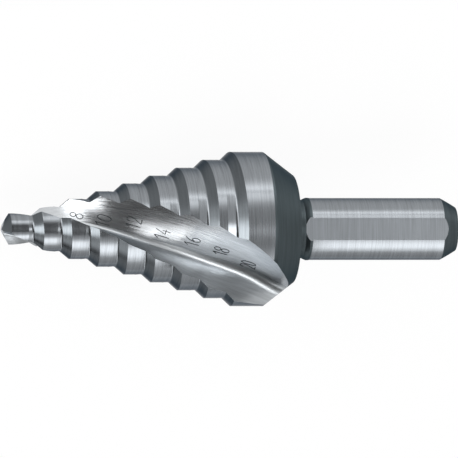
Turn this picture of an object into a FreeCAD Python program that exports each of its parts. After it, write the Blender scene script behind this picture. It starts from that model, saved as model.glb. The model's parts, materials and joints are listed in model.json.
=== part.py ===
import FreeCAD, Part
import math
import os
import Sketcher

# A two-flute step drill for sheet metal: nine relieved cutting steps on a cone, two
# helical flutes, and a shank with three flats for a three-jaw chuck.
# Lengths are in millimetres and angles in degrees. While it is built, the drill's axis
# is X: its chisel edge is at X = 0, its shank points along +X, and its lips lie along Y.

STEP_COUNT = 9
FLUTE_COUNT = 2
FLAT_COUNT = 3
FLUTE_SECTIONS = 16
FLUTE_REACH = 1.5
GROUND_ARC = 197.5

SIZES = {
    # Whole drill.
    "overall_length": 59.5,
    "first_diameter": 4.0,
    "diameter_rise": 2.0,
    # Point.
    "point_angle": 118.0,
    "point_offset": 0.3,
    "chisel_lead": 10.0,
    # Cutting steps.
    "first_step_length": 3.82,
    "step_length": 3.53,
    "last_step_length": 4.5,
    "step_face_angle": 45.0,
    "foot_radius": 0.45,
    "relief_ratio": 0.021,
    "relief_tilt": 2.8,
    "relief_lead": 45.0,
    # Flutes.
    "helix_angle": 25.2,
    "tip_core_radius": 0.5,
    "core_rise": 0.161,
    "runout_rise": 0.11,
    "lip_offset": 0.1,
    "number_face_tilt": 12.0,
    "number_face_ratio": 3.5,
    "valley_ratio": 0.12,
    # Back of the head, neck and collar.
    "back_cone_angle": 37.0,
    "back_face_diameter": 14.0,
    "neck_diameter": 7.55,
    "neck_length": 1.25,
    "collar_face_angle": 25.0,
    "collar_face_crown": 4.0,
    "collar_diameter": 8.06,
    "collar_length": 0.35,
    # Shank.
    "shank_diameter": 8.0,
    "flat_distance": 3.735,
    "flat_clearance": 1.15,
    "end_face_angle": 30.0,
    "end_face_length": 2.0,
    "end_face_crown": 25.0,
    # How it lies on a table, turned about its axis and then nosed down on its steps.
    "rest_roll": -35.55,
    "rest_tilt": 8.02,
    # Stock that the wheels grind away, and how far they run past it.
    "stock_allowance": 0.7,
    "overrun": 0.8,
}

X_AXIS = FreeCAD.Vector(1, 0, 0)
Y_AXIS = FreeCAD.Vector(0, 1, 0)
Z_AXIS = FreeCAD.Vector(0, 0, 1)


def fill_sheet(doc, label, cells):
    """Write each named value to a sheet of that label, one row each."""
    sheet = doc.addObject("Spreadsheet::Sheet", label)
    sheet.Label = label
    for row, (alias, value) in enumerate(cells.items(), start=1):
        sheet.set(f"A{row}", alias)
        sheet.set(f"B{row}", str(value))
        sheet.setAlias(f"B{row}", alias)
    doc.recompute()
    return sheet


def size(alias):
    """The expression that reads one driving size."""
    return f"<<Sizes>>.{alias}"


def at(alias):
    """The expression that reads one station worked out from the sizes."""
    return f"<<Stations>>.{alias}"


def station_cells():
    """Formulas for the stations along the axis, all from the driving sizes."""
    cells = {
        "tip_radius": f"={size('first_diameter')} / 2",
        "radius_rise": f"={size('diameter_rise')} / 2",
        "last_radius": f"=tip_radius + {STEP_COUNT - 1} * radius_rise",
        "stock_radius": f"=last_radius + {size('stock_allowance')}",
        "cone_slope": f"=radius_rise / {size('step_length')}",
        # The lip's outer corner, on a flank cone whose axis is offset from the drill's.
        "lip_reach": f"=sqrt(tip_radius ^ 2 + {size('point_offset')} ^ 2 + 2 * tip_radius"
                     f" * {size('point_offset')} * sin({size('chisel_lead')} * 1deg))",
        "corner_1": f"=(lip_reach - {size('point_offset')})"
                    f" / tan({size('point_angle')} * 0.5deg)",
        "corner_2": f"=corner_1 + {size('first_step_length')}",
    }
    for step in range(3, STEP_COUNT + 1):
        cells[f"corner_{step}"] = f"=corner_{step - 1} + {size('step_length')}"
    cells["land_end"] = f"=corner_{STEP_COUNT} + {size('last_step_length')}"
    # A flute of constant helix angle on a cone turns with the logarithm of the distance
    # from the cone's apex.
    cells["apex"] = "=corner_2 - (tip_radius + radius_rise) / cone_slope"
    cells["turn_rate"] = f"=tan({size('helix_angle')} * 1deg) / cone_slope * 180 / pi"
    for step in range(1, STEP_COUNT + 1):
        cells[f"radius_{step}"] = f"=tip_radius + {step - 1} * radius_rise"
        cells[f"edge_turn_{step}"] = (
            f"=turn_rate * log((corner_{step} - apex) / (corner_1 - apex))")
    cells["edge_turn_end"] = "=turn_rate * log((land_end - apex) / (corner_1 - apex))"
    cells["back_face"] = (
        f"=land_end + (last_radius - {size('back_face_diameter')} / 2)"
        f" / tan({size('back_cone_angle')} * 1deg)")
    cells["neck_end"] = f"=back_face + {size('neck_length')}"
    cells["collar_start"] = (
        f"=neck_end + ({size('collar_diameter')} - {size('neck_diameter')}) / 2"
        f" / tan({size('collar_face_angle')} * 1deg)")
    cells["collar_end"] = f"=collar_start + {size('collar_length')}"
    cells["flat_start"] = f"=back_face + {size('flat_clearance')}"
    cells["end_face_start"] = f"={size('overall_length')} - {size('end_face_length')}"
    cells["end_radius"] = (
        f"={size('shank_diameter')} / 2"
        f" - {size('end_face_length')} * tan({size('end_face_angle')} * 1deg)")
    # The flute's sections run from in front of the point to behind the head, each turned
    # as far from the last as the others are.
    cells["first_reach"] = f"=-{size('overrun')} - apex"
    cells["last_reach"] = f"=back_face + {size('overrun')} - apex"
    for index in range(FLUTE_SECTIONS):
        cells[f"reach_{index}"] = (
            f"=first_reach * (last_reach / first_reach) ^ ({index} / {FLUTE_SECTIONS - 1})")
        cells[f"place_{index}"] = f"=reach_{index} + apex"
        cells[f"cone_radius_{index}"] = f"=reach_{index} * cone_slope"
        cells[f"turn_{index}"] = f"=turn_rate * log(reach_{index} / (corner_1 - apex))"
        cells[f"core_{index}"] = (
            f"={size('tip_core_radius')} + place_{index} * {size('core_rise')}"
            f" + max(0; place_{index} - corner_{STEP_COUNT}) * {size('runout_rise')}")
    return cells


class DrillBuilder:
    """Builds the drill as one body, from the turned stock to the ground shank."""

    def __init__(self, doc):
        self.doc = doc
        fill_sheet(doc, "Sizes", SIZES)
        self.stations = fill_sheet(doc, "Stations", station_cells())
        self.body = doc.addObject("PartDesign::Body", "StepDrill")
        self.body.Label = "step_drill"

    def number(self, expression):
        """The present value of an expression, for a sketch's first guess."""
        return float(self.stations.evalExpression(expression))

    def plane(self, role):
        """One of the body's own origin planes."""
        for feature in self.body.Origin.OriginFeatures:
            if feature.Role == role:
                return feature
        raise ValueError(role)

    def sketch(self, name, role):
        """A new sketch of the body on one of its origin planes."""
        sketch = self.body.newObject("Sketcher::SketchObject", name)
        sketch.AttachmentSupport = [(self.plane(role), "")]
        sketch.MapMode = "FlatFace"
        return sketch

    def bind(self, sketch, constraint, expression):
        """Add a dimension to a sketch and tie it to an expression."""
        index = sketch.addConstraint(constraint)
        sketch.setExpression(f"Constraints[{index}]", expression)

    def hold(self, sketch, edge, end, across, along):
        """Tie a point of a sketch to expressions for its place."""
        self.bind(
            sketch,
            Sketcher.Constraint("DistanceX", -1, 1, edge, end, self.number(across)),
            across)
        self.bind(
            sketch,
            Sketcher.Constraint("DistanceY", -1, 1, edge, end, self.number(along)),
            along)

    def outline(self, sketch, corners, crowns=None):
        """A closed clockwise outline, each corner tied to its expressions.

        Its edges are straight, except those in crowns, which swell to that radius.
        """
        crowns = crowns or {}
        guesses = [FreeCAD.Vector(self.number(x), self.number(y), 0) for x, y in corners]
        ends = []
        for edge, (start, end) in enumerate(zip(guesses, guesses[1:] + guesses[:1])):
            if edge not in crowns:
                sketch.addGeometry(Part.LineSegment(start, end), False)
                ends.append((1, 2))
                continue
            radius = self.number(crowns[edge])
            chord = end - start
            inward = FreeCAD.Vector(chord.y, -chord.x, 0).normalize()
            depth = math.sqrt(radius ** 2 - chord.Length ** 2 / 4)
            centre = (start + end) * 0.5 + inward * depth
            turns = [math.atan2(p.y - centre.y, p.x - centre.x) for p in (end, start)]
            sketch.addGeometry(
                Part.ArcOfCircle(Part.Circle(centre, Z_AXIS, radius), *turns), False)
            ends.append((2, 1))
        for edge, (across, along) in enumerate(corners):
            follower = (edge + 1) % len(corners)
            sketch.addConstraint(Sketcher.Constraint(
                "Coincident", edge, ends[edge][1], follower, ends[follower][0]))
            self.hold(sketch, edge, ends[edge][0], across, along)
        for edge, radius in crowns.items():
            self.bind(
                sketch, Sketcher.Constraint("Radius", edge, self.number(radius)), radius)

    def turn_stock(self):
        """The blank: a bar with its back cone, neck, collar and shank turned."""
        cone_angle = f"tan({size('back_cone_angle')} * 1deg)"
        front = f"-{size('overrun')}"
        stock = at("stock_radius")
        cone_start = f"{at('land_end')} - {size('stock_allowance')} / {cone_angle}"
        back = f"{size('back_face_diameter')} / 2"
        neck = f"{size('neck_diameter')} / 2"
        collar = f"{size('collar_diameter')} / 2"
        shank = f"{size('shank_diameter')} / 2"
        sketch = self.sketch("StockProfile", "XY_Plane")
        self.outline(sketch, [
            (front, "0"),
            (front, stock),
            (cone_start, stock),
            (at("back_face"), back),
            (at("back_face"), neck),
            (at("neck_end"), neck),
            (at("collar_start"), collar),
            (at("collar_end"), collar),
            (at("collar_end"), shank),
            (at("end_face_start"), shank),
            (size("overall_length"), at("end_radius")),
            (size("overall_length"), "0"),
        ], {5: size("collar_face_crown"), 9: size("end_face_crown")})
        stock_feature = self.body.newObject("PartDesign::Revolution", "Stock")
        stock_feature.Profile = sketch
        stock_feature.ReferenceAxis = (sketch, ["H_Axis"])
        stock_feature.Angle = 360
        self.doc.recompute()

    def wheel_axis(self, sketch, turn, crossing, offset, rise):
        """Turn a profile's plane about X and draw the axis that it is ground about.

        The axis passes the crossing at the offset and rises by that much per millimetre.
        """
        sketch.AttachmentOffset = FreeCAD.Placement(
            FreeCAD.Vector(0, 0, 0), FreeCAD.Rotation(X_AXIS, 1))
        sketch.setExpression(".AttachmentOffset.Rotation.Angle", turn)
        along = f"{crossing} + {size('overall_length')}"
        above = f"{offset} + {size('overall_length')} * {rise}"
        start = FreeCAD.Vector(self.number(crossing), self.number(offset), 0)
        end = FreeCAD.Vector(self.number(along), self.number(above), 0)
        axis = sketch.addGeometry(Part.LineSegment(start, end), True)
        self.hold(sketch, axis, 1, crossing, offset)
        self.hold(sketch, axis, 2, along, above)

    def grind(self, name, sketch, angle):
        """A groove ground about the axis that its profile's sketch holds."""
        groove = self.body.newObject("PartDesign::Groove", name)
        groove.Profile = sketch
        groove.ReferenceAxis = (sketch, ["Axis0"])
        groove.Angle = angle
        self.doc.recompute()
        return groove

    def grind_point(self):
        """One flank of the point: a cone on an offset axis, so it falls from its lip."""
        slope = f"tan({size('point_angle')} * 0.5deg)"
        offset = size("point_offset")
        apex = f"-{offset} / {slope}"
        reach = f"{at('stock_radius')} + {size('overrun')}"
        front = f"-{size('overrun')} * 2"
        sketch = self.sketch("PointProfile", "XY_Plane")
        self.outline(sketch, [
            (apex, offset),
            (f"{apex} + ({reach}) / {slope}", f"{offset} + {reach}"),
            (front, f"{offset} + {reach}"),
            (front, offset),
        ])
        self.wheel_axis(sketch, f"-90 - {size('chisel_lead')}", apex, offset, "0")
        return self.grind("Point", sketch, 360)

    def grind_step(self, step):
        """One side of a step: the face behind it first, and then its land.

        Both wheels' axes are set ahead of the cutting edge, so the land falls away from
        its edge to its heel. The face's wheel also leans, so the face falls back.
        """
        radius = at(f"radius_{step}")
        offset = f"{size('relief_ratio')} * {radius}"
        lag = f"(1 - cos({size('relief_lead')} * 1deg))"
        land = f"{radius} + {offset} * {lag}"
        top = f"{at('stock_radius')} + {size('overrun')}"
        front = f"{at(f'corner_{step}')} - {size('overrun')}"
        ground = []
        if step == STEP_COUNT:
            next_turn = at("edge_turn_end")
            back = f"{at('land_end')} + {size('overrun')}"
        else:
            next_turn = at(f"edge_turn_{step + 1}")
            back = f"{at(f'corner_{step + 1}')} - {at('radius_rise')}" \
                   f" / tan({size('step_face_angle')} * 1deg) - {size('foot_radius')}"
        turn = f"({at(f'edge_turn_{step}')} + {next_turn}) / 2 - {size('relief_lead')}"
        if step < STEP_COUNT:
            rise = f"tan({size('relief_tilt')} * 1deg)"
            fall = f"{at(f'radius_{step + 1}')} * {rise} * {lag}"
            sketch = self.sketch(f"FaceProfile{step}", "XY_Plane")
            self.step_outline(sketch, step, front, land, top, fall)
            self.wheel_axis(sketch, turn, back, offset, rise)
            ground.append(self.grind(f"Face{step}", sketch, GROUND_ARC))
        sketch = self.sketch(f"LandProfile{step}", "XY_Plane")
        self.outline(sketch, [(front, land), (back, land), (back, top), (front, top)])
        self.wheel_axis(sketch, turn, front, offset, "0")
        ground.append(self.grind(f"Land{step}", sketch, GROUND_ARC))
        return ground

    def step_outline(self, sketch, step, front, ground_radius, top, fall):
        """The wheel's outline: land, round foot and sloping face, closed above them."""
        slope = f"tan({size('step_face_angle')} * 1deg)"
        next_corner = f"{at(f'corner_{step + 1}')} - {fall}"
        foot_x = self.number(f"{next_corner} - {at('radius_rise')} / {slope}")
        face_top = f"{next_corner} + ({top} - {ground_radius} - {at('radius_rise')}) / {slope}"
        land_y = self.number(ground_radius)
        foot_radius = self.number(size("foot_radius"))
        face_angle = math.radians(self.number(size("step_face_angle")))
        tangent_x = foot_x - foot_radius * math.tan(face_angle / 2)
        foot_centre = FreeCAD.Vector(tangent_x, land_y + foot_radius, 0)
        foot_start = FreeCAD.Vector(tangent_x, land_y, 0)
        foot_end = foot_centre + FreeCAD.Vector(
            foot_radius * math.sin(face_angle), -foot_radius * math.cos(face_angle), 0)
        front_low = FreeCAD.Vector(self.number(front), land_y, 0)
        front_high = FreeCAD.Vector(front_low.x, self.number(top), 0)
        back_high = FreeCAD.Vector(self.number(face_top), front_high.y, 0)
        sketch.addGeometry([
            Part.LineSegment(front_low, foot_start),
            Part.ArcOfCircle(
                Part.Circle(foot_centre, Z_AXIS, foot_radius),
                -math.pi / 2, face_angle - math.pi / 2),
            Part.LineSegment(foot_end, back_high),
            Part.LineSegment(back_high, front_high),
            Part.LineSegment(front_high, front_low),
        ], False)
        land, foot, face, roof, front_side = range(5)
        sketch.addConstraint([
            Sketcher.Constraint("Coincident", face, 2, roof, 1),
            Sketcher.Constraint("Coincident", roof, 2, front_side, 1),
            Sketcher.Constraint("Coincident", front_side, 2, land, 1),
            Sketcher.Constraint("Horizontal", land),
            Sketcher.Constraint("Tangent", land, 2, foot, 1),
            Sketcher.Constraint("Tangent", foot, 2, face, 1),
        ])
        self.hold(sketch, land, 1, front, ground_radius)
        self.hold(sketch, roof, 1, face_top, top)
        self.hold(sketch, front_side, 1, front, top)
        self.bind(
            sketch, Sketcher.Constraint("Radius", foot, foot_radius), size("foot_radius"))
        self.bind(
            sketch, Sketcher.Constraint("Angle", face, face_angle),
            f"{size('step_face_angle')} * 1deg")

    def flute_section(self, index):
        """The flute across the axis at one station, turned and grown with the cone.

        The rake face lies beside a radius, the valley is round, and the broad hollow
        face that carries the step numbers runs out past the heel.
        """
        cone_radius = at(f"cone_radius_{index}")
        reach = f"{FLUTE_REACH} * {cone_radius}"
        hollow = f"{size('number_face_ratio')} * {cone_radius}"
        valley = f"{size('valley_ratio')} * {cone_radius}"
        centre_reach = f"({at(f'core_{index}')} + {hollow})"
        tilt = f"({size('number_face_tilt')} * 1deg)"
        centre_x = f"{centre_reach} * cos({tilt})"
        centre_y = f"-{centre_reach} * sin({tilt})"
        rake_y = f"-{size('lip_offset')}"

        reach_guess = self.number(reach)
        hollow_guess = self.number(hollow)
        valley_guess = self.number(valley)
        hollow_centre = FreeCAD.Vector(self.number(centre_x), self.number(centre_y), 0)
        outer = FreeCAD.Vector(reach_guess, self.number(rake_y), 0)
        valley_y = outer.y - valley_guess
        valley_x = hollow_centre.x - math.sqrt(
            (hollow_guess - valley_guess) ** 2 - (hollow_centre.y - valley_y) ** 2)
        valley_centre = FreeCAD.Vector(valley_x, valley_y, 0)
        valley_turn = math.atan2(
            valley_centre.y - hollow_centre.y, valley_centre.x - hollow_centre.x)
        valley_turn %= 2 * math.pi
        centre_length = hollow_centre.Length
        heel_turn = math.atan2(hollow_centre.y, hollow_centre.x) - math.acos(
            (centre_length ** 2 + reach_guess ** 2 - hollow_guess ** 2)
            / (2 * centre_length * reach_guess))
        heel = FreeCAD.Vector(
            reach_guess * math.cos(heel_turn), reach_guess * math.sin(heel_turn), 0)
        heel_angle = math.atan2(heel.y - hollow_centre.y, heel.x - hollow_centre.x)
        heel_angle %= 2 * math.pi

        sketch = self.sketch(f"FluteSection{index}", "YZ_Plane")
        sketch.addGeometry([
            Part.LineSegment(outer, FreeCAD.Vector(valley_x, outer.y, 0)),
            Part.ArcOfCircle(
                Part.Circle(valley_centre, Z_AXIS, valley_guess), math.pi / 2, valley_turn),
            Part.ArcOfCircle(
                Part.Circle(hollow_centre, Z_AXIS, hollow_guess), valley_turn, heel_angle),
            Part.LineSegment(heel, outer),
        ], False)
        rake_face, valley_arc, number_face, outside = range(4)
        sketch.addConstraint([
            Sketcher.Constraint("Coincident", number_face, 2, outside, 1),
            Sketcher.Constraint("Coincident", outside, 2, rake_face, 1),
            Sketcher.Constraint("Horizontal", rake_face),
            Sketcher.Constraint("Tangent", rake_face, 2, valley_arc, 1),
            Sketcher.Constraint("Tangent", valley_arc, 2, number_face, 1),
        ])
        self.hold(sketch, rake_face, 1, reach, rake_y)
        self.hold(sketch, number_face, 3, centre_x, centre_y)
        self.bind(sketch, Sketcher.Constraint("Radius", number_face, hollow_guess), hollow)
        self.bind(sketch, Sketcher.Constraint("Radius", valley_arc, valley_guess), valley)
        self.bind(
            sketch, Sketcher.Constraint("Distance", -1, 1, number_face, 2, reach_guess),
            reach)
        sketch.AttachmentOffset = FreeCAD.Placement(
            FreeCAD.Vector(0, 0, 0), FreeCAD.Rotation(Z_AXIS, 1))
        sketch.setExpression(".AttachmentOffset.Base.z", at(f"place_{index}"))
        sketch.setExpression(".AttachmentOffset.Rotation.Angle", at(f"turn_{index}"))
        return sketch

    def cut_flute(self):
        """One helical flute through the point, the steps and the back cone."""
        sections = [self.flute_section(index) for index in range(FLUTE_SECTIONS)]
        flute = self.body.newObject("PartDesign::SubtractiveLoft", "Flute")
        flute.Profile = sections[0]
        flute.Sections = sections[1:]
        self.doc.recompute()
        return flute

    def cut_flat(self):
        """One clamping flat, from the neck to the shank's end."""
        side = f"{size('shank_diameter')} / 2 + {size('overrun')}"
        sketch = self.sketch("FlatProfile", "YZ_Plane")
        self.outline(sketch, [
            (f"-({side})", size("flat_distance")),
            (side, size("flat_distance")),
            (side, side),
            (f"-({side})", side),
        ])
        sketch.setExpression(".AttachmentOffset.Base.z", at("flat_start"))
        flat = self.body.newObject("PartDesign::Pocket", "Flat")
        flat.Profile = sketch
        flat.Type = "ThroughAll"
        flat.Reversed = True
        self.doc.recompute()
        return flat

    def repeat(self, name, features, count):
        """The same features again, evenly round the drill's axis."""
        pattern = self.body.newObject("PartDesign::PolarPattern", name)
        pattern.Originals = features
        pattern.Axis = (self.plane("X_Axis"), [""])
        pattern.Angle = 360
        pattern.Occurrences = count
        self.body.Tip = pattern
        self.doc.recompute()

    def build(self):
        """Turn the stock, grind the point and steps, then cut the flutes and flats."""
        self.turn_stock()
        ground = [self.grind_point()]
        for step in range(1, STEP_COUNT + 1):
            ground.extend(self.grind_step(step))
        self.repeat("BothSides", ground, FLUTE_COUNT)
        self.repeat("Flutes", [self.cut_flute()], FLUTE_COUNT)
        self.repeat("Flats", [self.cut_flat()], FLAT_COUNT)
        self.lay_down()
        return self.body

    def lay_down(self):
        """Lay the drill at rest across one flute, nose along +X, middle over the origin."""
        rolled = FreeCAD.Rotation(X_AXIS, self.number(size("rest_roll")))
        tilted = FreeCAD.Rotation(Y_AXIS, -self.number(size("rest_tilt")))
        faced = FreeCAD.Rotation(Z_AXIS, 180)
        turned = faced.multiply(tilted).multiply(rolled)
        self.body.Placement = FreeCAD.Placement(FreeCAD.Vector(0, 0, 0), turned)
        box = self.body.Shape.optimalBoundingBox(False, False)
        base = FreeCAD.Vector(-box.Center.x, -box.Center.y, -box.ZMin)
        self.body.Placement = FreeCAD.Placement(base, turned)
        self.doc.recompute()


def check(doc, bodies):
    """Stop if any object failed or any body is not one valid solid."""
    for thing in doc.Objects:
        failed = {"Invalid", "Error"} & set(thing.State)
        if failed:
            raise RuntimeError(f"{thing.Label} is {', '.join(failed)}")
    for body in bodies:
        shape = body.Shape
        if shape.isNull() or not shape.isValid() or len(shape.Solids) != 1:
            raise RuntimeError(f"{body.Label} is not one valid solid")


def export(bodies):
    """Write each body to a file named for its label."""
    os.makedirs("parts", exist_ok=True)
    for body in bodies:
        body.Shape.exportStep(f"parts/{body.Label}.step")
        box = body.Shape.optimalBoundingBox(False, False)
        print(
            f"{body.Label}: volume {body.Shape.Volume:.2f} mm3,"
            f" {len(body.Shape.Faces)} faces,"
            f" box {box.XLength:.3f} x {box.YLength:.3f} x {box.ZLength:.3f} mm")


document = FreeCAD.newDocument("StepDrill")
drill = DrillBuilder(document).build()
check(document, [drill])
export([drill])
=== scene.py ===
"""A step drill: its ground and blackened finishes, its step numerals, and the studio that it lies in."""

import json
import logging
import math
from dataclasses import dataclass
from enum import Enum

import bmesh
import bpy
from mathutils import Matrix, Vector
from mathutils.bvhtree import BVHTree


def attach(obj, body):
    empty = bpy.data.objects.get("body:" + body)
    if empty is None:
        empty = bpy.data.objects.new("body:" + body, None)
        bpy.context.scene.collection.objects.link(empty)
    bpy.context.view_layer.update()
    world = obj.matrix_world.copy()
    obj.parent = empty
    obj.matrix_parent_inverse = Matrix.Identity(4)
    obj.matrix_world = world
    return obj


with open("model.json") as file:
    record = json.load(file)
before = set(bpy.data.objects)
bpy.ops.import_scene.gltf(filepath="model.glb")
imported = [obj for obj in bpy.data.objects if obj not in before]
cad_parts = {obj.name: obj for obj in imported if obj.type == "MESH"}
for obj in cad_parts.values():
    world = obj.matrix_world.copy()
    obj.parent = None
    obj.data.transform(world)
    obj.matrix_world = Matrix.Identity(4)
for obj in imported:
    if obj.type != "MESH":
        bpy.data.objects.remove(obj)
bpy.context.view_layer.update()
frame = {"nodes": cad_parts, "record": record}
LOG = logging.getLogger("step_drill")
MM = 0.001
NODE = "step_drill"
BODY = "root"
# The Mix node's inputs by their numbers, because both kinds share the names A and B.
FIRST_VALUE, SECOND_VALUE = 2, 3
FIRST_COLOUR, SECOND_COLOUR, MIXED_COLOUR = 6, 7, 2


def linear(shade: str) -> tuple[float, float, float, float]:
    """Turn an sRGB hex colour to the linear values that a node takes.

    Args:
        shade: The colour, such as "#9aa0a6".

    Returns:
        Red, green, blue and an alpha of one.
    """
    steps = [int(shade[i:i + 2], 16) / 255 for i in (1, 3, 5)]
    red, green, blue = (s / 12.92 if s <= 0.04045 else ((s + 0.055) / 1.055) ** 2.4 for s in steps)
    return red, green, blue, 1.0


def add_node(tree: bpy.types.NodeTree, kind: str, inputs: dict | None = None, **settings) -> bpy.types.Node:
    """Add a node with its settings, and give each named input a value or a link.

    Args:
        tree: The node tree that gets the node.
        kind: The node's type name.
        inputs: Values or output sockets, by the input's name or number.
        **settings: The node's own properties.

    Returns:
        The new node.
    """
    node = tree.nodes.new(kind)
    for name, value in settings.items():
        setattr(node, name, value)
    for key, value in (inputs or {}).items():
        if isinstance(value, bpy.types.NodeSocket):
            tree.links.new(value, node.inputs[key])
        else:
            node.inputs[key].default_value = value
    return node


def start_material(name: str) -> tuple[bpy.types.Material, bpy.types.NodeTree]:
    """Make a material whose node tree is still empty.

    Args:
        name: The material's name.

    Returns:
        The material and its node tree.
    """
    material = bpy.data.materials.new(name)
    material.use_nodes = True
    material.node_tree.nodes.clear()
    return material, material.node_tree


def stand_mesh(name: str, shape: bmesh.types.BMesh, material: bpy.types.Material) -> bpy.types.Object:
    """Make a finished shape an object of the scene, at the origin and unturned.

    Args:
        name: The name of the object and of its mesh.
        shape: The shape, which is freed.
        material: What the object is made of.

    Returns:
        The object.
    """
    mesh = bpy.data.meshes.new(name)
    shape.to_mesh(mesh)
    shape.free()
    mesh.materials.append(material)
    piece = bpy.data.objects.new(name, mesh)
    bpy.context.scene.collection.objects.link(piece)
    return piece


@dataclass(frozen=True)
class DrillAxes:
    """Where the drill lies in the shared frame, in its own directions."""

    tip: Vector
    along: Vector
    side: Vector
    top: Vector

    @classmethod
    def read(cls, record: dict, length: float) -> "DrillAxes":
        """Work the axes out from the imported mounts.

        Args:
            record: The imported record.
            length: The drill's whole length in mm.

        Returns:
            The tip's place, the way to the shank's end, the near side and the upper flat's way out.
        """
        mounts = {mount["name"]: mount for mount in record["mounts"]}
        along = Vector(mounts["shank"]["axis"]).normalized()
        top = Vector(mounts["upper_flat"]["axis"]).normalized()
        end = Vector(mounts["shank_end"]["pos_m"])
        return cls(end - along * length * MM, along, top.cross(along).normalized(), top)

    def turn(self) -> Matrix:
        """Return the turn from the drill's own directions to the shared frame."""
        return Matrix((self.along, self.side, self.top)).transposed()

    def at(self, x: float, y: float, z: float) -> Vector:
        """Return a point given in mm from the tip as a point of the shared frame."""
        return self.tip + (self.along * x + self.side * y + self.top * z) * MM


@dataclass(frozen=True)
class Stations:
    """Where the drill's regions begin, in mm along its axis from the tip."""

    length: float = 59.5
    # The steps follow a cone whose radius is 0 at cone_start and grows 1 mm in each cone_pitch.
    cone_start: float = -5.71
    cone_pitch: float = 3.53
    head_end: float = 34.1
    flute_end: float = 38.6
    neck_end: float = 39.32
    shank_start: float = 40.24
    shank_end: float = 57.5
    # The flutes turn by twist each time that the cone grows e-fold, from twist_start past its start.
    twist: float = math.radians(95.2)
    twist_start: float = 6.77


@dataclass(frozen=True)
class Finish:
    """One surface of the steel: its colour, how dull it is and how deep its marks are."""

    shade: str
    roughness: float
    marks: float


class Region(Enum):
    """The drill's surfaces, by how each was made; some of their colours also carry painted light or painted
    shade.
    """

    # Lands and shank, ground round the axis: bright, with fine rings across the drill.
    LAND = Finish("#8b8f93", 0.19, 0.75)
    # Cutting faces and rounded feet between steps, ground by the wheel's corner; painted shade: the steel
    # is darkened for the shaded steps that they mirror.
    STEP_FACE_PAINTED_SHADE = Finish("#5a5e61", 0.22, 0.8)
    # Flutes, ground along the helix: a little satin, with fine lines lengthwise; painted light: the steel
    # is brighter than the lands, for the light the walls mirror from each other.
    FLUTE_PAINTED_LIGHT = Finish("#b8bcbf", 0.33, 0.9)
    # The number faces, dressed with a coarser wheel: strong lines lengthwise; painted light: the steel is
    # made the brightest, for the light they mirror from the flute's other wall.
    NUMBER_FACE_PAINTED_LIGHT = Finish("#cacdd0", 0.20, 3.6)
    # Clamping flats, ground flat across; painted shade: the steel is a little darker than the lands, to
    # tone down the light box that they mirror.
    FLAT = Finish("#808488", 0.33, 0.8)
    # Back cone, neck, collar and end chamfer, left as hardening blackened them.
    HARDENED = Finish("#4e5659", 0.42, 0.5)


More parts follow.
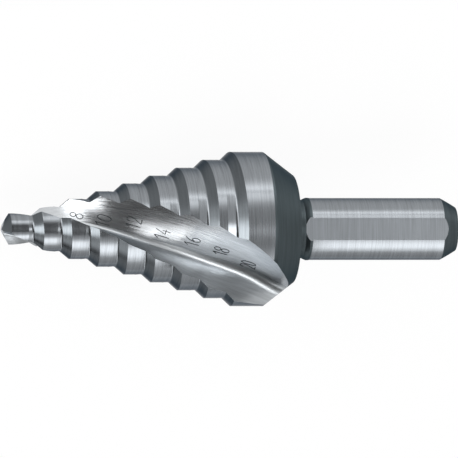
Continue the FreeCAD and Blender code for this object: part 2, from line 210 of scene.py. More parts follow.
@dataclass(frozen=True)
class GroundSteel:
    """Hardened high speed steel, ground bright where it works and left dark elsewhere.

    A pair of numbers is where a region's edge starts and where it is complete, or a range.
    """

    axes: DrillAxes
    stations: Stations
    # How far a region's surface faces along the axis or round it, as parts of its normal.
    wall_round: tuple[float, float] = (0.12, 0.20)
    number_face_round: tuple[float, float] = (-0.05, 0.15)
    step_face_along: tuple[float, float] = (-0.40, -0.60)
    back_cone_along: float = 0.3
    flat_along: float = 0.05
    flat_cosine: tuple[float, float] = (0.84, 0.90)
    flat_count: float = 3.0
    # How far the flute's bottom lies below the steps' cone, and the cone's greatest radius, in mm.
    valley_depth: tuple[float, float] = (1.35, 1.55)
    full_radius: float = 10.3
    # How far the dark steel's edges lie from the stations, in mm.
    head_edge: tuple[float, float] = (-0.02, 0.08)
    collar_edge: tuple[float, float] = (0.02, -0.10)
    chamfer_edge: tuple[float, float] = (-0.05, 0.05)
    # The wheels leave marks 0.02 mm apart, too fine to show. Rings are drawn 1 / 5.5 mm apart along the
    # axis, and lines 1 / 4.5 mm apart where the cone's radius is 8 mm.
    rings_per_mm: tuple[float, float, float] = (5.5, 0.18, 0.18)
    lines_per_mm: float = 4.5
    lines_radius: float = 8.0
    lines_along: float = 0.07
    marks_detail: float = 3.0
    marks_mix: float = 0.6
    marks_depth: float = 0.004
    # What the marks do to the colour and to the roughness.
    marks_range: tuple[float, float] = (0.3, 0.7)
    marks_shade: tuple[float, float] = (0.84, 1.12)
    marks_dulling: float = 0.10
    # Ground steel mirrors less at a grazing angle than a polished surface does.
    grazing_shade: str = "#9a9ea3"

    def dress(self, piece: bpy.types.Object) -> None:
        """Give the finish to every material slot of a piece.

        Args:
            piece: The piece that is dressed.
        """
        material = self.build()
        if not piece.data.materials:
            piece.data.materials.append(material)
        for slot in piece.material_slots:
            slot.material = material

    def build(self) -> bpy.types.Material:
        """Build the steel's material.

        Returns:
            The material, whose regions follow the drill's own axis.
        """
        material, tree = start_material("ground_high_speed_steel")
        place, facing = self.own_directions(tree)
        masks = self.region_masks(tree, place, facing)
        marks = self.grinding_marks(tree, place, masks)
        colour, roughness, depth = self.blend_finishes(tree, masks, marks)
        bump = add_node(tree, "ShaderNodeBump", {
            "Height": depth,
            "Distance": self.marks_depth * MM,
            "Strength": 1.0,
        })
        steel = add_node(tree, "ShaderNodeBsdfPrincipled", {
            "Base Color": colour,
            "Metallic": 1.0,
            "Roughness": roughness,
            "Specular Tint": linear(self.grazing_shade),
            "Normal": bump.outputs["Normal"],
        })
        add_node(tree, "ShaderNodeOutputMaterial", {"Surface": steel.outputs["BSDF"]})
        return material

    def own_directions(self, tree: bpy.types.NodeTree) -> tuple[dict, dict]:
        """Turn the piece's coordinates and normals to the drill's own directions.

        Args:
            tree: The material's node tree.

        Returns:
            The place, as two vectors and as x, the radius and the steps' cone there, all in mm, and
            the normal's parts along and round the axis with its angle.
        """
        turn = self.axes.turn().to_euler()
        source = add_node(tree, "ShaderNodeTexCoord")
        local = add_node(tree, "ShaderNodeMapping", {
            "Vector": source.outputs["Object"],
            "Location": self.axes.tip,
            "Rotation": turn,
            "Scale": (MM, MM, MM),
        }, vector_type="TEXTURE")
        normal = add_node(tree, "ShaderNodeMapping", {
            "Vector": source.outputs["Normal"],
            "Rotation": turn,
        }, vector_type="TEXTURE")
        parts = add_node(tree, "ShaderNodeSeparateXYZ", {0: local.outputs[0]})
        spoke = add_node(tree, "ShaderNodeCombineXYZ", {"Y": parts.outputs["Y"], "Z": parts.outputs["Z"]})
        radius = add_node(tree, "ShaderNodeVectorMath", {0: spoke.outputs[0]}, operation="LENGTH")
        outward = add_node(tree, "ShaderNodeVectorMath", {0: spoke.outputs[0]}, operation="NORMALIZE")
        around = add_node(tree, "ShaderNodeVectorMath", {
            0: (1.0, 0.0, 0.0),
            1: outward.outputs[0],
        }, operation="CROSS_PRODUCT")
        faces_round = add_node(tree, "ShaderNodeVectorMath", {
            0: normal.outputs[0],
            1: around.outputs[0],
        }, operation="DOT_PRODUCT")
        faces = add_node(tree, "ShaderNodeSeparateXYZ", {0: normal.outputs[0]})
        angle = add_node(tree, "ShaderNodeMath", {
            0: faces.outputs["Z"],
            1: faces.outputs["Y"],
        }, operation="ARCTAN2")
        cone = add_node(tree, "ShaderNodeMath", {
            0: parts.outputs["X"],
            1: 1 / self.stations.cone_pitch,
            2: -self.stations.cone_start / self.stations.cone_pitch,
        }, operation="MULTIPLY_ADD")
        place = {
            "point": local.outputs[0],
            "x": parts.outputs["X"],
            "spoke": spoke.outputs[0],
            "radius": radius.outputs["Value"],
            "cone": cone.outputs[0],
        }
        facing = {
            "along": faces.outputs["X"],
            "round": faces_round.outputs["Value"],
            "angle": angle.outputs[0],
        }
        return place, facing

    def region_masks(self, tree: bpy.types.NodeTree, place: dict, facing: dict) -> dict:
        """Find each region from where the surface is and the way it faces.

        Args:
            tree: The material's node tree.
            place: The place in the drill's own directions.
            facing: The normal's parts.

        Returns:
            One socket, from 0 to 1, for each region but the lands, which lie under them all.
        """
        flute, number_face = self.flute_masks(tree, place, facing)
        sloped = add_node(tree, "ShaderNodeMapRange", {
            "Value": facing["along"],
            "From Min": self.step_face_along[0],
            "From Max": self.step_face_along[1],
        })
        in_head = add_node(tree, "ShaderNodeMath", {0: place["x"], 1: self.stations.head_end},
                           operation="LESS_THAN")
        step_face = add_node(tree, "ShaderNodeMath", {0: sloped.outputs[0], 1: in_head.outputs[0]},
                             operation="MULTIPLY")
        return {
            "step_face": step_face.outputs[0],
            "hardened": self.hardened_mask(tree, place),
            "flute": flute,
            "number_face": number_face,
            "flat": self.flat_mask(tree, place, facing),
        }

    def flute_masks(
        self, tree: bpy.types.NodeTree, place: dict, facing: dict
    ) -> tuple[bpy.types.NodeSocket, bpy.types.NodeSocket]:
        """Find the flutes, and their walls that carry the numbers.

        Args:
            tree: The material's node tree.
            place: The place in the drill's own directions.
            facing: The normal's parts.

        Returns:
            The masks of the whole flutes and of the number faces.
        """
        slope = add_node(tree, "ShaderNodeMath", {0: facing["round"]}, operation="ABSOLUTE")
        walls = add_node(tree, "ShaderNodeMapRange", {
            "Value": slope.outputs[0],
            "From Min": self.wall_round[0],
            "From Max": self.wall_round[1],
        })
        full = add_node(tree, "ShaderNodeMath", {0: place["cone"], 1: self.full_radius},
                        operation="MINIMUM")
        depth = add_node(tree, "ShaderNodeMath", {0: full.outputs[0], 1: place["radius"]},
                         operation="SUBTRACT")
        floor = add_node(tree, "ShaderNodeMapRange", {
            "Value": depth.outputs[0],
            "From Min": self.valley_depth[0],
            "From Max": self.valley_depth[1],
        })
        faces_tip = add_node(tree, "ShaderNodeMath", {0: facing["along"], 1: self.back_cone_along},
                             operation="LESS_THAN")
        valley = add_node(tree, "ShaderNodeMath", {0: floor.outputs[0], 1: faces_tip.outputs[0]},
                          operation="MULTIPLY")
        cut = add_node(tree, "ShaderNodeMath", {0: walls.outputs[0], 1: valley.outputs[0]},
                       operation="MAXIMUM")
        before_shank = add_node(tree, "ShaderNodeMath", {0: place["x"], 1: self.stations.flute_end},
                                operation="LESS_THAN")
        flute = add_node(tree, "ShaderNodeMath", {0: cut.outputs[0], 1: before_shank.outputs[0]},
                         operation="MULTIPLY")
        faces_back = add_node(tree, "ShaderNodeMapRange", {
            "Value": facing["round"],
            "From Min": self.number_face_round[0],
            "From Max": self.number_face_round[1],
        })
        number_face = add_node(tree, "ShaderNodeMath", {0: flute.outputs[0], 1: faces_back.outputs[0]},
                               operation="MULTIPLY")
        return flute.outputs[0], number_face.outputs[0]

    def hardened_mask(self, tree: bpy.types.NodeTree, place: dict) -> bpy.types.NodeSocket:
        """Find what the wheel leaves black: the back cone, neck and collar, and the end chamfer.

        Args:
            tree: The material's node tree.
            place: The place in the drill's own directions.

        Returns:
            The mask of the dark steel.
        """
        stations = self.stations
        ends = []
        for station, edge in (
            (stations.head_end, self.head_edge),
            (stations.shank_start, self.collar_edge),
            (stations.shank_end, self.chamfer_edge),
        ):
            ends.append(add_node(tree, "ShaderNodeMapRange", {
                "Value": place["x"],
                "From Min": station + edge[0],
                "From Max": station + edge[1],
            }).outputs[0])
        past_head, before_shank, chamfer = ends
        waist = add_node(tree, "ShaderNodeMath", {0: past_head, 1: before_shank}, operation="MULTIPLY")
        dark = add_node(tree, "ShaderNodeMath", {0: waist.outputs[0], 1: chamfer}, operation="MAXIMUM")
        return dark.outputs[0]

    def flat_mask(self, tree: bpy.types.NodeTree, place: dict, facing: dict) -> bpy.types.NodeSocket:
        """Find the clamping flats, which face one of three ways and not along the axis.

        Args:
            tree: The material's node tree.
            place: The place in the drill's own directions.
            facing: The normal's parts.

        Returns:
            The mask of the flats.
        """
        thirds = add_node(tree, "ShaderNodeMath", {
            0: facing["angle"],
            1: self.flat_count,
            2: -self.flat_count * math.pi / 2,
        }, operation="MULTIPLY_ADD")
        toward_flat = add_node(tree, "ShaderNodeMath", {0: thirds.outputs[0]}, operation="COSINE")
        even = add_node(tree, "ShaderNodeMapRange", {
            "Value": toward_flat.outputs[0],
            "From Min": self.flat_cosine[0],
            "From Max": self.flat_cosine[1],
        })
        past_neck = add_node(tree, "ShaderNodeMath", {0: place["x"], 1: self.stations.neck_end},
                             operation="GREATER_THAN")
        tilt = add_node(tree, "ShaderNodeMath", {0: facing["along"]}, operation="ABSOLUTE")
        level = add_node(tree, "ShaderNodeMath", {0: tilt.outputs[0], 1: self.flat_along},
                         operation="LESS_THAN")
        level_shank = add_node(tree, "ShaderNodeMath", {0: past_neck.outputs[0], 1: level.outputs[0]},
                               operation="MULTIPLY")
        flat = add_node(tree, "ShaderNodeMath", {0: even.outputs[0], 1: level_shank.outputs[0]},
                        operation="MULTIPLY")
        return flat.outputs[0]

    def grinding_marks(self, tree: bpy.types.NodeTree, place: dict, masks: dict) -> bpy.types.NodeSocket:
        """Draw the wheel's fine marks: rings round the axis, and lines along the helix in the flutes.

        Args:
            tree: The material's node tree.
            place: The place in the drill's own directions.
            masks: The regions.

        Returns:
            The marks, from 0 to 1.
        """
        rings_place = add_node(tree, "ShaderNodeVectorMath", {
            0: place["point"],
            1: self.rings_per_mm,
        }, operation="MULTIPLY")
        rings = add_node(tree, "ShaderNodeTexNoise", {
            "Vector": rings_place.outputs[0],
            "Scale": 1.0,
            "Detail": self.marks_detail,
            "Roughness": self.marks_mix,
        })
        # The lines turn with the logarithm of the cone, as the helix does, and spread as it grows.
        reach = add_node(tree, "ShaderNodeMath", {
            0: place["cone"],
            1: self.stations.cone_pitch / self.stations.twist_start,
        }, operation="MULTIPLY")
        grown = add_node(tree, "ShaderNodeMath", {0: reach.outputs[0], 1: math.e},
                         operation="LOGARITHM")
        turned = add_node(tree, "ShaderNodeMath", {0: grown.outputs[0], 1: -self.stations.twist},
                          operation="MULTIPLY")
        unwound = add_node(tree, "ShaderNodeVectorRotate", {
            "Vector": place["spoke"],
            "Angle": turned.outputs[0],
        }, rotation_type="X_AXIS")
        shrink = add_node(tree, "ShaderNodeMath", {0: self.lines_radius, 1: place["cone"]},
                          operation="DIVIDE")
        across = add_node(tree, "ShaderNodeVectorMath", {
            0: unwound.outputs[0],
            "Scale": shrink.outputs[0],
        }, operation="SCALE")
        lengthways = add_node(tree, "ShaderNodeCombineXYZ", {"X": place["x"]})
        slow = add_node(tree, "ShaderNodeVectorMath", {
            0: lengthways.outputs[0],
            "Scale": self.lines_along,
        }, operation="SCALE")
        flute_place = add_node(tree, "ShaderNodeVectorMath", {0: across.outputs[0], 1: slow.outputs[0]},
                               operation="ADD")
        lines = add_node(tree, "ShaderNodeTexNoise", {
            "Vector": flute_place.outputs[0],
            "Scale": self.lines_per_mm,
            "Detail": self.marks_detail,
            "Roughness": self.marks_mix,
        })
        marks = add_node(tree, "ShaderNodeMix", {
            "Factor": masks["flute"],
            FIRST_VALUE: rings.outputs["Fac"],
            SECOND_VALUE: lines.outputs["Fac"],
        }, data_type="FLOAT")
        return marks.outputs[0]

    def blend_finishes(
        self, tree: bpy.types.NodeTree, masks: dict, marks: bpy.types.NodeSocket
    ) -> tuple[bpy.types.NodeSocket, bpy.types.NodeSocket, bpy.types.NodeSocket]:
        """Lay the finishes over each other by their regions.

        Args:
            tree: The material's node tree.
            masks: The regions.
            marks: The wheel's marks.

        Returns:
            The colour, the roughness and the height of the marks.
        """
        # The step faces, flutes, number faces and flats carry painted shade or painted light in their
        # colours.
        order = (
            ("step_face", Region.STEP_FACE_PAINTED_SHADE.value),
            ("hardened", Region.HARDENED.value),
            ("flute", Region.FLUTE_PAINTED_LIGHT.value),
            ("number_face", Region.NUMBER_FACE_PAINTED_LIGHT.value),
            ("flat", Region.FLAT.value),
        )
        land = Region.LAND.value
        colour: object = linear(land.shade)
        roughness: object = land.roughness
        depth: object = land.marks
        for name, finish in order:
            colour = add_node(tree, "ShaderNodeMix", {
                "Factor": masks[name],
                FIRST_COLOUR: colour,
                SECOND_COLOUR: linear(finish.shade),
            }, data_type="RGBA").outputs[MIXED_COLOUR]
            roughness = add_node(tree, "ShaderNodeMix", {
                "Factor": masks[name],
                FIRST_VALUE: roughness,
                SECOND_VALUE: finish.roughness,
            }, data_type="FLOAT").outputs[0]
            depth = add_node(tree, "ShaderNodeMix", {
                "Factor": masks[name],
                FIRST_VALUE: depth,
                SECOND_VALUE: finish.marks,
            }, data_type="FLOAT").outputs[0]
        worn = add_node(tree, "ShaderNodeMapRange", {
            "Value": marks,
            "From Min": self.marks_range[0],
            "From Max": self.marks_range[1],
            "To Min": self.marks_shade[0],
            "To Max": self.marks_shade[1],
        })
        shaded = add_node(tree, "ShaderNodeVectorMath", {0: colour, "Scale": worn.outputs[0]},
                          operation="SCALE")
        dulled = add_node(tree, "ShaderNodeMath", {
            0: marks,
            1: self.marks_dulling,
            2: -self.marks_dulling / 2,
        }, operation="MULTIPLY_ADD")
        rough = add_node(tree, "ShaderNodeMath", {0: roughness, 1: dulled.outputs[0]}, operation="ADD")
        height = add_node(tree, "ShaderNodeMath", {0: marks, 1: depth}, operation="MULTIPLY")
        return shaded.outputs[0], rough.outputs[0], height.outputs[0]


@dataclass(frozen=True)
class PhotoCamera:
    """A long lens above the drill, square to its upper flat but for a few degrees toward the tip.

    Lengths are in mm, the scale is in pixels to the mm, and the clips are in metres.
    """

    frame_px: int = 458
    scale_px: float = 7.76
    lean: float = math.radians(10.6)
    distance: float = 1500.0
    sensor: float = 36.0
    aim: float = 29.75
    aside: float = 0.116
    near_clip: float = 0.05
    far_clip: float = 20.0

    def directions(self, axes: DrillAxes) -> tuple[Vector, Vector, Vector]:
        """Find how the camera is turned.

        Args:
            axes: Where the drill lies.

        Returns:
            The camera's right, up and backward directions in the shared frame.
        """
        right = axes.along * math.cos(self.lean) + axes.top * math.sin(self.lean)
        back = axes.top * math.cos(self.lean) - axes.along * math.sin(self.lean)
        return right, axes.side, back

    def centre(self, axes: DrillAxes) -> Vector:
        """Return the point that the camera looks at."""
        right = self.directions(axes)[0]
        return axes.at(self.aim, 0.0, 0.0) + right * self.aside * MM

    def point(self, axes: DrillAxes, across: float, down: float) -> Vector:
        """Find the point that shows at a place of the frame, in the plane through the drill's axis.

        Args:
            axes: Where the drill lies.
            across: How many pixels the place is from the left.
            down: How many pixels the place is from the top.

        Returns:
            The point in the shared frame.
        """
        right, up, _ = self.directions(axes)
        middle = (self.frame_px - 1) / 2
        return (self.centre(axes) + right * (across - middle) / self.scale_px * MM
                - up * (down - middle) / self.scale_px * MM)

    def build(self, axes: DrillAxes) -> bpy.types.Object:
        """Place the camera and make it the scene's own.

        Args:
            axes: Where the drill lies.

        Returns:
            The camera.
        """
        right, up, back = self.directions(axes)
        data = bpy.data.cameras.new("photo_camera")
        data.sensor_width = self.sensor
        data.lens = self.scale_px * self.distance * self.sensor / self.frame_px
        data.clip_start = self.near_clip
        data.clip_end = self.far_clip
        camera = bpy.data.objects.new("photo_camera", data)
        bpy.context.scene.collection.objects.link(camera)
        turn = Matrix((right, up, back)).transposed().to_4x4()
        camera.matrix_world = Matrix.Translation(self.centre(axes) + back * self.distance * MM) @ turn
        bpy.context.scene.camera = camera
        return camera


@dataclass(frozen=True)
class Numeral:
    """One step's diameter as text, with its middle in the frame in pixels and its height in mm."""

    text: str
    across: float
    down: float
    height: float


@dataclass(frozen=True)
class StepNumerals:
    """The diameters engraved on the number faces, as fine dark strokes half sunk in the steel."""

    axes: DrillAxes
    camera: PhotoCamera
    surface: BVHTree
    # The strokes' radius in mm, how round their sides are, and how finely their bends are drawn.
    stroke: float = 0.055
    stroke_sides: int = 1
    stroke_points: int = 4
    # A digit's width and the gap after it, against its height, and how narrow both are drawn.
    digit: float = 0.6
    gap: float = 0.18
    narrow: float = 0.55
    # The way up a numeral, as its parts to the right and up in the frame.
    upright: tuple[float, float] = (-0.96, 0.28)
    # From how far above the axis a numeral's middle is looked for, and from how far above its face
    # and how far down a stroke's points are, in mm.
    search_from: float = 60.0
    touch_from: float = 0.8
    touch_reach: float = 2.0
    # Etched steel is near black and matt. The etch bites unevenly, in spots of about 0.1 mm.
    etch_spot: float = 0.1
    etch_dark: str = "#202427"
    etch_light: str = "#34393c"
    etch_metallic: float = 0.6
    etch_roughness: float = 0.7

    # Each digit's strokes, as points in a box one high and 0.6 wide.
    DIGITS = {
        "0": (((0.3, 1.0), (0.05, 0.8), (0.0, 0.5), (0.05, 0.2), (0.3, 0.0), (0.55, 0.2), (0.6, 0.5),
               (0.55, 0.8), (0.3, 1.0)),),
        "1": (((0.08, 0.72), (0.38, 1.0)), ((0.38, 1.0), (0.38, 0.0))),
        "2": (((0.04, 0.78), (0.14, 0.96), (0.34, 1.0), (0.54, 0.86), (0.5, 0.6), (0.26, 0.3),
               (0.0, 0.0)),
              ((0.0, 0.0), (0.6, 0.0))),
        "4": (((0.42, 1.0), (0.0, 0.32)), ((0.0, 0.32), (0.6, 0.32)), ((0.42, 0.55), (0.42, 0.0))),
        "6": (((0.46, 1.0), (0.2, 0.78), (0.03, 0.5), (0.02, 0.22), (0.28, 0.0), (0.56, 0.14),
               (0.56, 0.4), (0.32, 0.54), (0.06, 0.38)),),
        "8": (((0.3, 0.54), (0.06, 0.66), (0.08, 0.92), (0.3, 1.0), (0.52, 0.92), (0.54, 0.66),
               (0.3, 0.54)),
              ((0.3, 0.54), (0.03, 0.4), (0.02, 0.12), (0.3, 0.0), (0.58, 0.12), (0.57, 0.4),
               (0.3, 0.54))),
    }
    PLACES = (
        Numeral("8", 76.5, 215.0, 1.75),
        Numeral("10", 103.0, 220.5, 1.95),
        Numeral("12", 133.5, 222.5, 1.95),
        Numeral("14", 162.0, 233.6, 1.95),
        Numeral("16", 191.8, 241.1, 1.95),
        Numeral("18", 220.4, 251.0, 1.95),
        Numeral("20", 247.5, 263.9, 1.95),
    )

    @classmethod
    def carried_by(
        cls, drill: bpy.types.Object, axes: DrillAxes, camera: PhotoCamera
    ) -> "StepNumerals":
        """Take the steel that carries the strokes.

        Args:
            drill: The drill.
            axes: Where the drill lies.
            camera: The camera of the frame in which the numerals are placed.

        Returns:
            The numerals, which aren't built yet.
        """
        steel = bmesh.new()
        steel.from_mesh(drill.data)
        surface = BVHTree.FromBMesh(steel)
        steel.free()
        return cls(axes, camera, surface)

    def build(self) -> list[bpy.types.Object]:
        """Build the numerals of both flutes.

        Returns:
            One piece for each numeral and flute.
        """
        ink = self.finish()
        pieces = []
        for flute in range(2):
            for numeral in self.PLACES:
                piece = self.engrave(numeral, flute)
                piece.data.materials.clear()
                piece.data.materials.append(ink)
                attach(piece, BODY)
                pieces.append(piece)
                LOG.info("%s engraved", piece.name)
        return pieces

    def engrave(self, numeral: Numeral, flute: int) -> bpy.types.Object:
        """Make one numeral of one flute.

        Args:
            numeral: What is written, how high and where.
            flute: 0 for the flute that the photograph shows, 1 for the other.

        Returns:
            The strokes as one mesh.
        """
        bent = bpy.data.objects.new("strokes", self.lay_strokes(numeral))
        bpy.context.scene.collection.objects.link(bent)
        bpy.context.view_layer.update()
        solid = bent.evaluated_get(bpy.context.evaluated_depsgraph_get())
        mesh = bpy.data.meshes.new_from_object(solid)
        mesh.name = f"numeral_{numeral.text}_{'far' if flute else 'seen'}"
        bpy.data.objects.remove(bent)
        if flute:
            half = (Matrix.Translation(self.axes.tip) @ Matrix.Rotation(math.pi, 4, self.axes.along)
                    @ Matrix.Translation(-self.axes.tip))
            mesh.transform(half)
        piece = bpy.data.objects.new(mesh.name, mesh)
        bpy.context.scene.collection.objects.link(piece)
        return piece

    def lay_strokes(self, numeral: Numeral) -> bpy.types.Curve:
        """Lay one numeral's strokes on the number face that the photograph shows.

        Args:
            numeral: What is written, how high and where.

        Returns:
            The strokes as one round-sided curve.
        """
        back = self.camera.directions(self.axes)[2]
        spot = self.camera.point(self.axes, numeral.across, numeral.down)
        middle, normal, _, _ = self.surface.ray_cast(spot + back * self.search_from * MM, -back)
        up = self.lean_on(normal)
        right = up.cross(normal)
        size = numeral.height * MM
        width = self.digit * len(numeral.text) + self.gap * (len(numeral.text) - 1)
        line = bpy.data.curves.new("strokes", "CURVE")
        line.dimensions = "3D"
        line.bevel_depth = self.stroke * MM
        line.bevel_resolution = self.stroke_sides
        line.resolution_u = self.stroke_points
        line.use_fill_caps = True
        for index, digit in enumerate(numeral.text):
            start = index * (self.digit + self.gap) - width / 2
            for stroke in self.DIGITS[digit]:
                places = []
                for x, y in stroke:
                    flat = middle + right * (start + x) * self.narrow * size + up * (y - 0.5) * size
                    places.append(self.touch(flat, normal))
                self.add_stroke(line, places)
        return line

    def lean_on(self, normal: Vector) -> Vector:
        """Find the way in a face that shows as the way up a numeral.

        Args:
            normal: The face's normal.

        Returns:
            A direction of length one in the shared frame.
        """
        right, up, back = self.camera.directions(self.axes)
        shown = right * self.upright[0] + up * self.upright[1]
        return (shown - back * (shown.dot(normal) / back.dot(normal))).normalized()

    def touch(self, place: Vector, normal: Vector) -> Vector:
        """Find the point of the steel below or above a place.

        Args:
            place: The place.
            normal: The way along which the steel is looked for.

        Returns:
            The point, or the place itself where there is no steel.
        """
        start = place + normal * self.touch_from * MM
        hit = self.surface.ray_cast(start, -normal, self.touch_reach * MM)[0]
        return hit if hit is not None else place

    def add_stroke(self, line: bpy.types.Curve, places: list[Vector]) -> None:
        """Add one smooth stroke to a curve.

        Args:
            line: The curve.
            places: The points that the stroke goes through.
        """
        spline = line.splines.new("BEZIER")
        spline.bezier_points.add(len(places) - 1)
        for point, place in zip(spline.bezier_points, places):
            point.co = place
            point.handle_left_type = "AUTO"
            point.handle_right_type = "AUTO"

    def finish(self) -> bpy.types.Material:
        """Build the strokes' material.

        Returns:
            Steel darkened by the marking current, mottled by the etch.
        """
        material, tree = start_material("electro_etched_mark")
        source = add_node(tree, "ShaderNodeTexCoord")
        spots = add_node(tree, "ShaderNodeTexNoise", {
            "Vector": source.outputs["Object"],
            "Scale": 1 / (self.etch_spot * MM),
        })
        shade = add_node(tree, "ShaderNodeMix", {
            "Factor": spots.outputs["Fac"],
            FIRST_COLOUR: linear(self.etch_dark),
            SECOND_COLOUR: linear(self.etch_light),
        }, data_type="RGBA")
        etched = add_node(tree, "ShaderNodeBsdfPrincipled", {
            "Base Color": shade.outputs[MIXED_COLOUR],
            "Metallic": self.etch_metallic,
            "Roughness": self.etch_roughness,
        })
        add_node(tree, "ShaderNodeOutputMaterial", {"Surface": etched.outputs["BSDF"]})
        return material


@dataclass(frozen=True)
class LightZone:
    """The strips of light of one stretch of the room.

    The stretch begins where the sine of the direction toward the shank goes from fade_from to fade_to.
    A strip is an angle round the drill's axis, in degrees from its near side, and a brightness.
    """

    fade_from: float
    fade_to: float
    strips: tuple[tuple[float, float], ...]


@dataclass(frozen=True)
class RoundBox:
    """A round light box, by the way to it from the drill, its radius in degrees and its light."""

    way: tuple[float, float, float]
    wide: float
    bright: float


@dataclass(frozen=True)
class Card:
    """A matt card over the drill, unseen by the camera, that the steel mirrors as a soft dark field.

    It is placed in mm along, beside and above the drill's axis, after a turn about it in degrees.
    """

    name: str
    shade: str
    start: float
    length: float
    aside: float
    width: float
    height: float
    turn: float
    fade: float


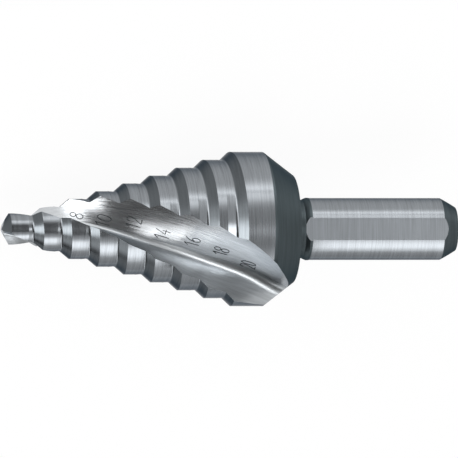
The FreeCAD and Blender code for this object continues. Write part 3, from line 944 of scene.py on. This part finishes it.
@dataclass(frozen=True)
class Studio:
    """A white table under long strips of soft light that lie along the drill."""

    # White paper under wide lamps: evenly white, with the drill's own soft shadow. Its radius is in
    # metres, so that its edge is never seen.
    floor_radius: float = 6.0
    floor_sides: int = 64
    floor_shade: str = "#f4f4f4"
    # The share of the table that shows as plain white, and the strips' greatest brightness.
    glow: float = 0.92
    brightest: float = 3.4
    zones: tuple[LightZone, ...] = (
        LightZone(-1.1, -1.05, (
            (-180.0, 2.4), (-150.0, 2.4), (-140.0, 0.5), (20.0, 0.5), (34.0, 2.3), (58.0, 2.3),
            (74.0, 0.3), (130.0, 0.25), (145.0, 0.9), (168.0, 0.9), (178.0, 2.2),
        )),
        LightZone(-0.80, -0.68, (
            (-180.0, 0.08), (-150.0, 0.08), (-140.0, 0.5), (20.0, 0.5), (34.0, 2.0), (58.0, 2.0),
            (74.0, 0.2), (90.0, 0.08),
        )),
        LightZone(-0.38, -0.30, (
            (-180.0, 2.2), (-150.0, 1.9), (-140.0, 0.8), (20.0, 0.5), (34.0, 1.6), (60.0, 1.3),
            (74.0, 0.2), (118.0, 0.12), (128.0, 1.6), (142.0, 2.4), (176.0, 2.4),
        )),
        LightZone(-0.19, -0.12, (
            (-180.0, 0.6), (-150.0, 0.35), (-140.0, 0.3), (30.0, 1.2), (50.0, 0.7), (70.0, 0.4),
            (85.0, 0.2), (120.0, 0.25), (134.0, 1.0), (144.0, 2.0), (158.0, 1.6), (170.0, 0.6),
        )),
        LightZone(0.0, 0.08, (
            (-180.0, 1.2), (-168.0, 0.8), (-140.0, 0.7), (30.0, 2.3), (42.0, 2.2), (52.0, 0.95),
            (66.0, 0.85), (122.0, 0.7), (132.0, 1.1), (145.0, 3.4), (162.0, 3.4), (174.0, 2.0),
        )),
        LightZone(0.24, 0.36, ((-180.0, 0.8), (-130.0, 0.7), (0.0, 0.75), (170.0, 0.8))),
    )
    round_boxes: tuple[RoundBox, ...] = (
        RoundBox((-0.64, 0.32, 0.69), 22.0, 3.0),
        RoundBox((-0.95, -0.12, 0.29), 13.0, 7.5),
        RoundBox((0.44, -0.06, 0.90), 9.0, 5.4),
    )
    # How far outside and inside a round box's edge its light fades, in degrees.
    box_fade: tuple[float, float] = (4.0, -3.0)
    cards: tuple[Card, ...] = (
        Card("grey_card", "#505050", -136.0, 225.0, 14.0, 262.0, 200.0, 0.0, 50.0),
        Card("small_flag", "#585858", 23.0, 24.0, 0.0, 26.0, 30.0, 62.0, 4.0),
    )
    # The light pad behind the drill, in mm, with its brightness from its near edge to pad_bright.
    pad_from: float = 32.0
    pad_width: float = 220.0
    pad_length: float = 500.0
    pad_height: float = 0.5
    pad_level: float = 2.6
    pad_bright: float = 85.0

    def build(self, axes: DrillAxes) -> None:
        """Build the floor and the light of the studio.

        Args:
            axes: Where the drill lies.
        """
        self.build_floor()
        for card in self.cards:
            self.build_card(axes, card)
        self.build_pad()
        self.build_world(axes)
        bpy.context.scene.view_settings.view_transform = "Standard"
        LOG.info("studio built")

    def build_floor(self) -> bpy.types.Object:
        """Build the white table top.

        Returns:
            The floor, which isn't part of the drill.
        """
        shape = bmesh.new()
        bmesh.ops.create_circle(shape, cap_ends=True, segments=self.floor_sides,
                                radius=self.floor_radius)
        material, tree = start_material("white_table")
        paint = add_node(tree, "ShaderNodeBsdfDiffuse", {"Color": linear(self.floor_shade)})
        glow = add_node(tree, "ShaderNodeEmission", {"Color": (1.0, 1.0, 1.0, 1.0), "Strength": 1.0})
        path = add_node(tree, "ShaderNodeLightPath")
        seen = add_node(tree, "ShaderNodeMath", {
            0: path.outputs["Is Camera Ray"],
            1: path.outputs["Is Glossy Ray"],
        }, operation="MAXIMUM")
        seen_through = add_node(tree, "ShaderNodeMath", {
            0: seen.outputs[0],
            1: path.outputs["Is Transmission Ray"],
        }, operation="MAXIMUM")
        share = add_node(tree, "ShaderNodeMath", {0: seen_through.outputs[0], 1: self.glow},
                         operation="MULTIPLY")
        mix = add_node(tree, "ShaderNodeMixShader", {
            0: share.outputs[0],
            1: paint.outputs[0],
            2: glow.outputs[0],
        })
        add_node(tree, "ShaderNodeOutputMaterial", {"Surface": mix.outputs[0]})
        floor = stand_mesh("table_top", shape, material)
        return floor

    def build_world(self, axes: DrillAxes) -> None:
        """Build the strips and boxes of light round the drill.

        Args:
            axes: Where the drill lies.
        """
        world = bpy.data.worlds.new("studio")
        world.use_nodes = True
        tree = world.node_tree
        tree.nodes.clear()
        source = add_node(tree, "ShaderNodeTexCoord")
        toward_top = add_node(tree, "ShaderNodeVectorMath", {
            0: source.outputs["Generated"],
            1: axes.top,
        }, operation="DOT_PRODUCT")
        toward_side = add_node(tree, "ShaderNodeVectorMath", {
            0: source.outputs["Generated"],
            1: axes.side,
        }, operation="DOT_PRODUCT")
        angle = add_node(tree, "ShaderNodeMath", {
            0: toward_top.outputs["Value"],
            1: toward_side.outputs["Value"],
        }, operation="ARCTAN2")
        share = add_node(tree, "ShaderNodeMapRange", {
            "Value": angle.outputs[0],
            "From Min": -math.pi,
            "From Max": math.pi,
        })
        endways = add_node(tree, "ShaderNodeVectorMath", {
            0: source.outputs["Generated"],
            1: axes.along,
        }, operation="DOT_PRODUCT")
        lit = (0.0, 0.0, 0.0, 1.0)
        for zone in self.zones:
            ramp = add_node(tree, "ShaderNodeValToRGB", {"Fac": share.outputs[0]})
            self.fill_ramp(ramp.color_ramp, zone.strips)
            begun = add_node(tree, "ShaderNodeMapRange", {
                "Value": endways.outputs["Value"],
                "From Min": zone.fade_from,
                "From Max": zone.fade_to,
            })
            lit = add_node(tree, "ShaderNodeMix", {
                "Factor": begun.outputs[0],
                FIRST_COLOUR: lit,
                SECOND_COLOUR: ramp.outputs["Color"],
            }, data_type="RGBA").outputs[MIXED_COLOUR]
        for box in self.round_boxes:
            beside = add_node(tree, "ShaderNodeVectorMath", {
                0: source.outputs["Generated"],
                1: axes.turn() @ Vector(box.way).normalized(),
            }, operation="DOT_PRODUCT")
            disc = add_node(tree, "ShaderNodeMapRange", {
                "Value": beside.outputs["Value"],
                "From Min": math.cos(math.radians(box.wide + self.box_fade[0])),
                "From Max": math.cos(math.radians(box.wide + self.box_fade[1])),
            })
            lit = add_node(tree, "ShaderNodeMix", {
                "Factor": disc.outputs[0],
                FIRST_COLOUR: lit,
                SECOND_COLOUR: (box.bright / self.brightest,) * 3 + (1.0,),
            }, data_type="RGBA").outputs[MIXED_COLOUR]
        glow = add_node(tree, "ShaderNodeBackground", {"Color": lit, "Strength": self.brightest})
        add_node(tree, "ShaderNodeOutputWorld", {"Surface": glow.outputs[0]})
        bpy.context.scene.world = world

    def fill_ramp(self, ramp: bpy.types.ColorRamp, strips: tuple[tuple[float, float], ...]) -> None:
        """Write the strips' brightness by their angle, where the ramp's ends meet at half a turn.

        Args:
            ramp: The colour ramp, which begins with two stops.
            strips: The angles in degrees from the drill's near side, with their brightness.
        """
        while len(ramp.elements) > 1:
            ramp.elements.remove(ramp.elements[-1])
        for index, (angle, level) in enumerate(strips):
            place = (angle + 180) / 360
            stop = ramp.elements.new(place) if index else ramp.elements[0]
            stop.position = place
            share = level / self.brightest
            stop.color = (share, share, share, 1.0)

    def build_card(self, axes: DrillAxes, card: Card) -> bpy.types.Object:
        """Build a card that the steel mirrors, with soft edges.

        Args:
            axes: Where the drill lies.
            card: How large the card is, where it hangs and its shade.

        Returns:
            The card, which isn't part of the drill and doesn't hide it from the camera.
        """
        shape = bmesh.new()
        bmesh.ops.create_grid(shape, x_segments=1, y_segments=1, size=0.5)
        turn = axes.turn() @ Matrix.Rotation(math.radians(card.turn), 3, "X")
        centre = axes.tip + turn @ Vector((card.start + card.length / 2, card.aside, card.height)) * MM
        size = Matrix.Diagonal((card.length * MM, card.width * MM, 1.0, 1.0))
        place = Matrix.Translation(centre) @ turn.to_4x4() @ size
        bmesh.ops.transform(shape, matrix=place, verts=shape.verts)
        material, tree = start_material(f"{card.name}_paper")
        paper = add_node(tree, "ShaderNodeBsdfDiffuse", {"Color": linear(card.shade)})
        clear = add_node(tree, "ShaderNodeBsdfTransparent")
        source = add_node(tree, "ShaderNodeTexCoord")
        local = add_node(tree, "ShaderNodeMapping", {
            "Vector": source.outputs["Object"],
            "Location": centre,
            "Rotation": turn.to_euler(),
            "Scale": (MM, MM, MM),
        }, vector_type="TEXTURE")
        parts = add_node(tree, "ShaderNodeSeparateXYZ", {0: local.outputs[0]})
        fades = []
        for way, reach in (("X", card.length / 2), ("Y", card.width / 2)):
            off = add_node(tree, "ShaderNodeMath", {0: parts.outputs[way]}, operation="ABSOLUTE")
            fades.append(add_node(tree, "ShaderNodeMapRange", {
                "Value": off.outputs[0],
                "From Min": reach - card.fade,
                "From Max": reach,
            }, interpolation_type="SMOOTHSTEP"))
        fade = add_node(tree, "ShaderNodeMath", {
            0: fades[0].outputs[0],
            1: fades[1].outputs[0],
        }, operation="MAXIMUM")
        card_paint = add_node(tree, "ShaderNodeMixShader", {
            0: fade.outputs[0],
            1: paper.outputs[0],
            2: clear.outputs[0],
        })
        add_node(tree, "ShaderNodeOutputMaterial", {"Surface": card_paint.outputs[0]})
        sheet = stand_mesh(card.name, shape, material)
        sheet.visible_camera = False
        sheet.visible_diffuse = False
        sheet.visible_shadow = False
        return sheet

    def build_pad(self) -> bpy.types.Object:
        """Build the light pad that lies on the table behind the drill, outside the camera's view.

        Returns:
            The pad, which isn't part of the drill.
        """
        shape = bmesh.new()
        bmesh.ops.create_grid(shape, x_segments=1, y_segments=1, size=0.5)
        size = Matrix.Diagonal((self.pad_length * MM, self.pad_width * MM, 1.0, 1.0))
        middle = -(self.pad_from + self.pad_width / 2) * MM
        place = Matrix.Translation((0.0, middle, self.pad_height * MM))
        bmesh.ops.transform(shape, matrix=place @ size, verts=shape.verts)
        material, tree = start_material("light_pad_sheet")
        source = add_node(tree, "ShaderNodeTexCoord")
        away = add_node(tree, "ShaderNodeSeparateXYZ", {0: source.outputs["Object"]})
        fade = add_node(tree, "ShaderNodeMapRange", {
            "Value": away.outputs["Y"],
            "From Min": -self.pad_from * MM,
            "From Max": -self.pad_bright * MM,
            "To Min": 1.0,
            "To Max": self.pad_level,
        })
        sheet = add_node(tree, "ShaderNodeEmission", {
            "Color": (1.0, 1.0, 1.0, 1.0),
            "Strength": fade.outputs[0],
        })
        add_node(tree, "ShaderNodeOutputMaterial", {"Surface": sheet.outputs[0]})
        pad = stand_mesh("light_pad", shape, material)
        pad.visible_camera = False
        return pad


def main() -> None:
    """Build the drill's looks and its studio."""
    logging.basicConfig(level=logging.INFO)
    stations = Stations()
    axes = DrillAxes.read(frame["record"], stations.length)
    camera = PhotoCamera()
    camera.build(axes)
    drill = frame["nodes"][NODE]
    GroundSteel(axes, stations).dress(drill)
    LOG.info("%s dressed", NODE)
    StepNumerals.carried_by(drill, axes, camera).build()
    Studio().build(axes)


if __name__ == "__main__":
    main()
